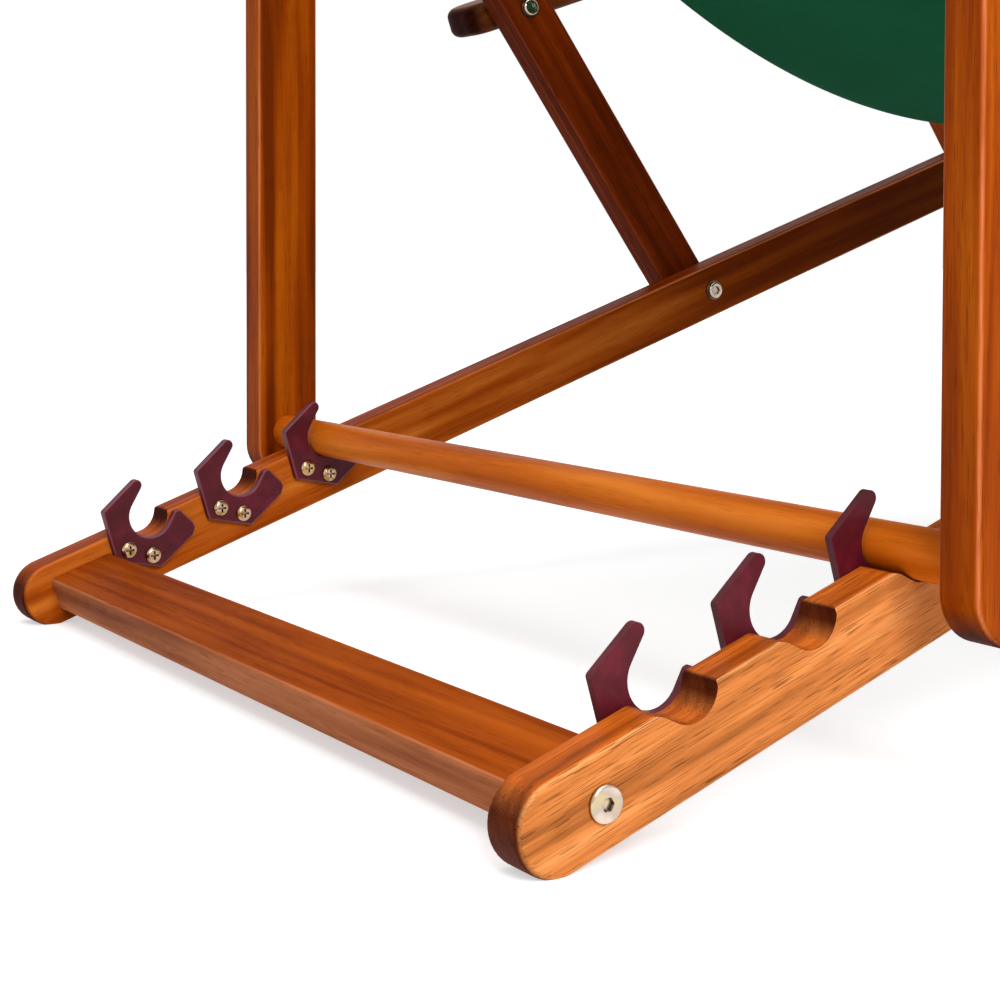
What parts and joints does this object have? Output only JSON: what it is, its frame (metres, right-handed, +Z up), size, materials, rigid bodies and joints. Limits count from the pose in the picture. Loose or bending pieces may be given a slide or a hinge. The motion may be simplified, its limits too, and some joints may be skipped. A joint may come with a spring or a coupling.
{
  "type": "deck chair",
  "caption": "Folding deck chair: inclined base rails with notches, back rails on a prop, arms, front legs and a canvas sling.",
  "frame": {"origin": "on the floor, under the middle of the chair's box", "axes": "+Z up, the chair faces -Y, +X is the sitter's left"},
  "size_m": [0.738, 1.0782, 0.9076],
  "materials": {
    "hardwood": "oiled hardwood, satin",
    "canvas": "plain-woven cotton canvas",
    "hook_plastic": "moulded, semi-gloss",
    "steel": "bright nickel plate",
    "zinc_screws": "yellow zinc plate",
    "nylon": "natural nylon"
  },
  "bodies": {
    "base": {"base_rail_left": "hardwood", "base_rail_right": "hardwood", "cross_board": "hardwood", "board_bolts": "steel", "board_barrel_nuts": "steel", "hook_screws": "zinc_screws", "front_bar": "hardwood", "front_bar_screws": "steel", "base_pivot_bolts": "steel", "base_pivot_washers": "steel", "base_pivot_spacers": "nylon", "base_pivot_nuts": "steel", "notch_hook_1_left": "hook_plastic", "notch_hook_1_right": "hook_plastic", "notch_hook_2_left": "hook_plastic", "notch_hook_2_right": "hook_plastic", "notch_hook_3_left": "hook_plastic", "notch_hook_3_right": "hook_plastic"},
    "back": {"back_rail_left": "hardwood", "back_rail_right": "hardwood", "head_bar": "hardwood", "head_bar_screws": "steel", "canvas": "canvas", "arm_pivot_bolts": "steel", "prop_pivot_bolts": "steel", "back_pivot_washers": "steel", "arm_pivot_spacers": "nylon", "prop_pivot_spacers": "nylon", "prop_pivot_nuts": "steel"},
    "prop": {"prop_upright_left": "hardwood", "prop_upright_right": "hardwood", "prop_dowel": "hardwood", "prop_dowel_screws": "steel"},
    "arm_left": {"arm_left": "hardwood", "arm_barrel_nuts_left": "steel"},
    "arm_right": {"arm_right": "hardwood", "arm_barrel_nuts_right": "steel"},
    "legs": {"leg_left": "hardwood", "leg_right": "hardwood", "leg_stretcher": "hardwood", "leg_stretcher_screws": "steel", "leg_top_bolts": "steel", "leg_top_washers": "steel", "leg_top_spacers": "nylon"}
  },
  "joints": [
    {"name": "back_fold", "type": "hinge", "parent": "base", "child": "back", "pos_m": [0, 0.00828, 0.19645], "axis": [1, 0, 0], "range_deg": [0, 70], "deforming": ["canvas"]},
    {"name": "legs_swing", "type": "hinge", "parent": "base", "child": "legs", "pos_m": [0, -0.30761, 0.30645], "axis": [1, 0, 0], "range_deg": [0, 70]},
    {"name": "arm_left_tilt", "type": "hinge", "parent": "back", "child": "arm_left", "pos_m": [0, 0.15842, 0.40008], "axis": [1, 0, 0], "range_deg": [-70, 0]},
    {"name": "arm_right_tilt", "type": "hinge", "parent": "back", "child": "arm_right", "pos_m": [0, 0.15842, 0.40008], "axis": [1, 0, 0], "range_deg": [-70, 0]},
    {"name": "prop_swing", "type": "hinge", "parent": "back", "child": "prop", "pos_m": [0, 0.33733, 0.64276], "axis": [1, 0, 0], "range_deg": [-26.25, 0]}
  ],
  "couplings": [
    {"joint": "legs_swing", "follows": "back_fold", "ratio": 1},
    {"joint": "arm_left_tilt", "follows": "back_fold", "ratio": -1},
    {"joint": "arm_right_tilt", "follows": "back_fold", "ratio": -1},
    {"joint": "prop_swing", "follows": "back_fold", "ratio": -0.375}
  ]
}
